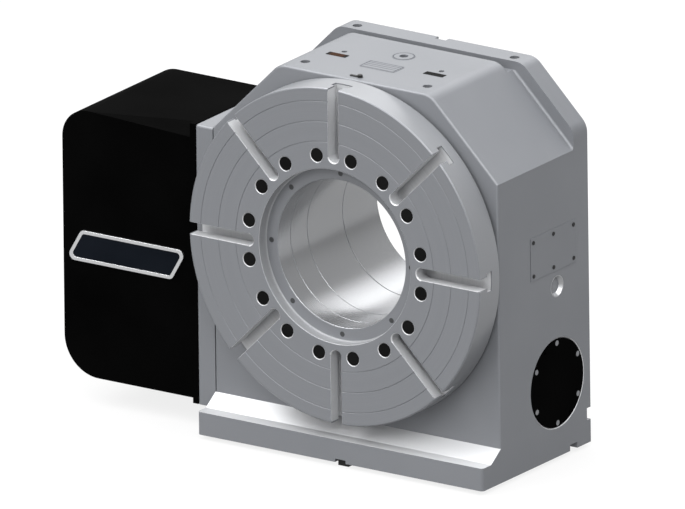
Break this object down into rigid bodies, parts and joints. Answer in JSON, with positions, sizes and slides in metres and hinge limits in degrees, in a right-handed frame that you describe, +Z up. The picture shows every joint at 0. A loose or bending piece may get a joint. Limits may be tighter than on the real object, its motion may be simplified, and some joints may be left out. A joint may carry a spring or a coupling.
{
  "type": "cnc rotary table",
  "caption": "Upright CNC rotary table: T-slot faceplate with a large through bore on a chamfered housing, worm drive and a black servo motor cover on its side.",
  "frame": {"origin": "on the base plane, under the table axis and midway along the base", "axes": "+X to the operator's right, -Y out of the faceplate, +Z up"},
  "size_m": [0.754, 0.3, 0.5705],
  "materials": {
    "casting": "smooth satin grey",
    "ground_steel": "ground and turned",
    "bearing_steel": "ground",
    "fastener_steel": "dark oxide",
    "bright_screw": "plain",
    "black_plug": "matte",
    "spacer_plastic": "matte",
    "seal_rubber": "matte",
    "brake_iron": "machined",
    "bronze": "machined bronze",
    "black_paint": "satin black",
    "black_oxide": "black oxide",
    "motor_black": "satin black",
    "gland_black": "matte",
    "badge_silver": "satin silver",
    "badge_dark": "gloss",
    "plate_metal": "satin",
    "bezel_chrome": "polished",
    "lens_glass": "clear",
    "label_brown": "satin",
    "label_black": "satin"
  },
  "bodies": {
    "frame": {"housing": "casting", "gear_case": "casting", "rear_cover": "ground_steel", "bearing_clamp_ring": "ground_steel", "main_bearing_outer_ring": "bearing_steel", "worm_bearing_outer_rings": "bearing_steel", "clamp_ring_screws": "fastener_steel", "brake_screws": "fastener_steel", "rear_cover_screws": "fastener_steel", "motor_screws": "fastener_steel", "cover_screws": "fastener_steel", "side_plate_screws": "fastener_steel", "guide_key_screws": "fastener_steel", "worm_cover_screws": "bright_screw", "front_seal": "seal_rubber", "rear_seal": "seal_rubber", "worm_seal": "seal_rubber", "brake_cylinder": "brake_iron", "brake_reaction_ring": "brake_iron", "worm_end_cover": "black_paint", "motor_plate": "black_paint", "motor_cover": "black_paint", "guide_keys": "black_oxide", "index_pointer": "black_oxide", "cover_brackets": "black_oxide", "motor_body": "motor_black", "motor_encoder_cap": "motor_black", "motor_connectors": "motor_black", "cable_glands": "gland_black", "badge_rim": "badge_silver", "badge_inlay": "badge_dark", "side_plate": "plate_metal", "spec_plate": "plate_metal", "filler_label": "plate_metal", "sight_glass_bezel": "bezel_chrome", "sight_glass_lens": "lens_glass", "clamp_port_label": "label_brown", "unclamp_port_label": "label_black"},
    "table": {"faceplate": "ground_steel", "table_bolts": "fastener_steel", "bolt_hole_plugs": "black_plug", "bore_ring": "ground_steel", "bore_ring_screws": "fastener_steel", "spindle_flange": "ground_steel", "spindle_sleeve": "ground_steel", "sleeve_bolts": "fastener_steel", "wheel_hub": "ground_steel", "hub_bolts": "fastener_steel", "worm_wheel": "bronze", "brake_disc": "bearing_steel", "main_bearing_inner_ring": "bearing_steel"},
    "roller_set": {"main_bearing_rollers": "bearing_steel", "main_bearing_spacers": "spacer_plastic"},
    "worm": {"worm_shaft": "bearing_steel", "worm_bearing_inner_rings": "bearing_steel", "worm_lock_nut": "bearing_steel", "spur_gear": "bearing_steel"},
    "rotor": {"motor_rotor": "bearing_steel", "motor_pinion": "bearing_steel"},
    "piston": {"brake_piston": "brake_iron"}
  },
  "joints": [
    {"name": "table_turn", "type": "hinge", "parent": "frame", "child": "table", "pos_m": [0, 0, 0.31], "axis": [0, 1, 0], "continuous": true},
    {"name": "roller_set_turn", "type": "hinge", "parent": "frame", "child": "roller_set", "pos_m": [0, 0, 0.31], "axis": [0, 1, 0], "continuous": true},
    {"name": "worm_turn", "type": "hinge", "parent": "frame", "child": "worm", "pos_m": [0, 0.054, 0.11], "axis": [1, 0, 0], "continuous": true},
    {"name": "motor_turn", "type": "hinge", "parent": "frame", "child": "rotor", "pos_m": [0, 0.023, 0.20402], "axis": [1, 0, 0], "continuous": true},
    {"name": "brake_press", "type": "slide", "parent": "frame", "child": "piston", "axis": [0, 1, 0], "range_m": [0, 0.0004]}
  ],
  "couplings": [
    {"joint": "roller_set_turn", "follows": "table_turn", "ratio": 0.5},
    {"joint": "worm_turn", "follows": "table_turn", "ratio": 90},
    {"joint": "motor_turn", "follows": "table_turn", "ratio": -180}
  ]
}
